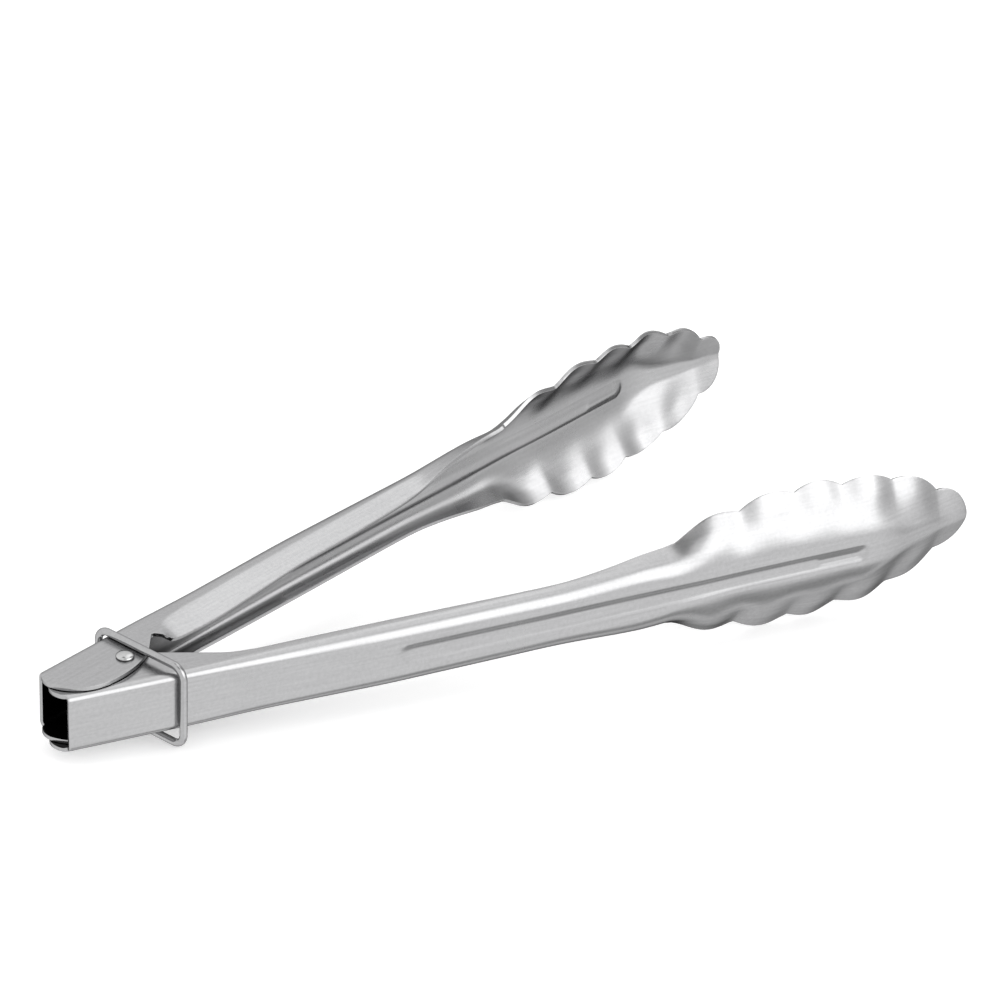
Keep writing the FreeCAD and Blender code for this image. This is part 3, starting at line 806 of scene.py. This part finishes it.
def make_floor():
    """Pale floor under the two points the tongs rest on: the ring's lower bar and the bowls."""
    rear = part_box("locking_ring")[0]
    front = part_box("right_arm")[0]
    rear_at = Vector((rear.x + RING_REST, 0, rear.z))
    front_at = Vector((BOWL_REST, 0, front.z))
    slope = math.atan2(rear_at.z - front_at.z, front_at.x - rear_at.x)
    mesh = bpy.data.meshes.new("floor")
    corners = [(x * FLOOR_HALF, y * FLOOR_HALF, 0) for x, y in ((-1, -1), (1, -1), (1, 1), (-1, 1))]
    mesh.from_pydata(corners, [], [(0, 1, 2, 3)])
    floor = add_object("floor", mesh)
    below = rear_at - Vector((0, 0, FLOOR_GAP))
    floor.matrix_world = Matrix.Translation(below) @ Matrix.Rotation(slope, 4, "Y")
    material = bpy.data.materials.new("pale_floor")
    material.use_nodes = True
    shader = material.node_tree.nodes["Principled BSDF"]
    shader.inputs["Base Color"].default_value = (0.93, 0.93, 0.93, 1)
    shader.inputs["Roughness"].default_value = 0.9
    shader.inputs["Specular IOR Level"].default_value = 0.1
    shader.inputs["Emission Color"].default_value = (1, 1, 1, 1)
    shader.inputs["Emission Strength"].default_value = 0.3
    mesh.materials.append(material)
    floor.visible_glossy = False    # the steel mirrors the studio's own lower half instead


def glow(tree, direction, bearing, height, edge, middle):
    """1 in the part of the studio round a direction, 0 outside it, soft between two angles."""
    bearing, height = math.radians(bearing), math.radians(height)
    level = math.cos(height)
    dot = node(tree, "ShaderNodeVectorMath", (-600, 0), operation="DOT_PRODUCT")
    tree.links.new(direction, dot.inputs[0])
    dot.inputs[1].default_value = (level * math.sin(bearing), level * math.cos(bearing), math.sin(height))
    soft = node(tree, "ShaderNodeMapRange", (-400, 0), interpolation_type="SMOOTHSTEP")
    soft.inputs["From Min"].default_value = math.cos(math.radians(edge))
    soft.inputs["From Max"].default_value = math.cos(math.radians(middle))
    tree.links.new(dot.outputs["Value"], soft.inputs["Value"])
    return soft.outputs["Result"]


# where each soft box or dark card hangs: bearing from +Y towards +X and height above the floor, both
# in degrees, the angles at which it starts and is full, and what it adds to the surroundings
STUDIO = [
    (162, 28, 32, 14, 1.3),
    (132, 24, 20, 8, 0.45),
    (65, 47, 20, 10, 0.45),
    (95, 73, 26, 12, 0.25),
    (168, -32, 30, 14, 0.15),
    (98, 42, 22, 12, -0.65),
    (88, 12, 22, 10, -0.4),
    (120, -10, 20, 8, -0.3),
    (84, -45, 18, 8, -0.1),
    (147, -55, 17, 6, -0.6),
    (40, -38, 24, 12, -1.0),
    (-145, 66, 16, 8, -0.75),
    (10, 76, 12, 5, -0.9),
]
SURROUNDINGS = 1.05
DARKEST = 0.03


def make_light():
    """Soft studio light: a pale surround with soft boxes and dark cards."""
    world = bpy.data.worlds.new("studio")
    world.use_nodes = True
    bpy.context.scene.world = world
    tree = world.node_tree
    direction = node(tree, "ShaderNodeTexCoord", (-900, 0)).outputs["Generated"]
    total = None
    for bearing, height, edge, middle, amount in STUDIO:
        part = glow(tree, direction, bearing, height, edge, middle)
        add = node(tree, "ShaderNodeMath", (-200, 0), operation="MULTIPLY_ADD")
        add.inputs[1].default_value = amount
        add.inputs[2].default_value = SURROUNDINGS
        tree.links.new(part, add.inputs[0])
        if total is not None:
            tree.links.new(total, add.inputs[2])
        total = add.outputs[0]
    limited = node(tree, "ShaderNodeMath", (-100, -200), operation="MAXIMUM")
    limited.inputs[1].default_value = DARKEST
    tree.links.new(total, limited.inputs[0])
    tree.links.new(limited.outputs[0], tree.nodes["Background"].inputs["Strength"])
    tree.nodes["Background"].inputs["Color"].default_value = (1, 1, 1, 1)


def make_camera():
    """Long lens, looking down along the arms from beside the hinge."""
    heading = math.radians(37.96)
    dip = math.radians(29.89)
    roll = math.radians(1.9)
    distance = 1.201
    aim = Vector((0.1191, 0.0197, 0.0))
    forward = Vector((math.sin(heading) * math.cos(dip), math.cos(heading) * math.cos(dip), -math.sin(dip)))
    level = forward.to_track_quat("-Z", "Y").to_matrix().to_4x4()
    data = bpy.data.cameras.new("camera")
    data.lens = 182.2
    data.sensor_width = 36
    data.clip_start = 0.05
    camera = add_object("camera", data)
    camera.matrix_world = Matrix.Translation(aim - forward * distance) @ level @ Matrix.Rotation(roll, 4, "Z")
    bpy.context.scene.camera = camera


# ---------------------------------------------------------------- the whole object

# how fine the grain is across its lines and along them
ARM_GRAIN = (1400.0, 60.0)
RIVET_GRAIN = (900.0, 500.0)
WIRE_GRAIN = (1800.0, 900.0)

groups = {"grain": rolled_grain_group(), "marks": handling_group()}
arm_steel = steel("arm_stainless", groups, (0.46, 0.46, 0.465), (0.20, 0.28), *ARM_GRAIN, 0.2, blank=True)
inner_steel = steel(
    "arm_stainless_inside", groups, (0.45, 0.45, 0.455), (0.24, 0.34), *ARM_GRAIN, 0.3, blank=True
)
# painted shade: the inside face is darkened towards the hinge end
paint_hinge_end_shade(inner_steel)
rivet_steel = steel("rivet_stainless", groups, (0.56, 0.56, 0.56), (0.14, 0.22), *RIVET_GRAIN, 0.2)
ring_steel = steel("ring_stainless", groups, (0.45, 0.45, 0.455), (0.12, 0.2), *WIRE_GRAIN, 0.2)
spring_steel = steel("spring_steel", groups, (0.42, 0.42, 0.43), (0.24, 0.34), *WIRE_GRAIN, 0.3)

make_camera()
make_arms(arm_steel, inner_steel)
make_rivet(rivet_steel)
make_ring(ring_steel)
make_spring(spring_steel)
make_floor()
make_light()

bpy.context.scene.view_settings.view_transform = "Standard"
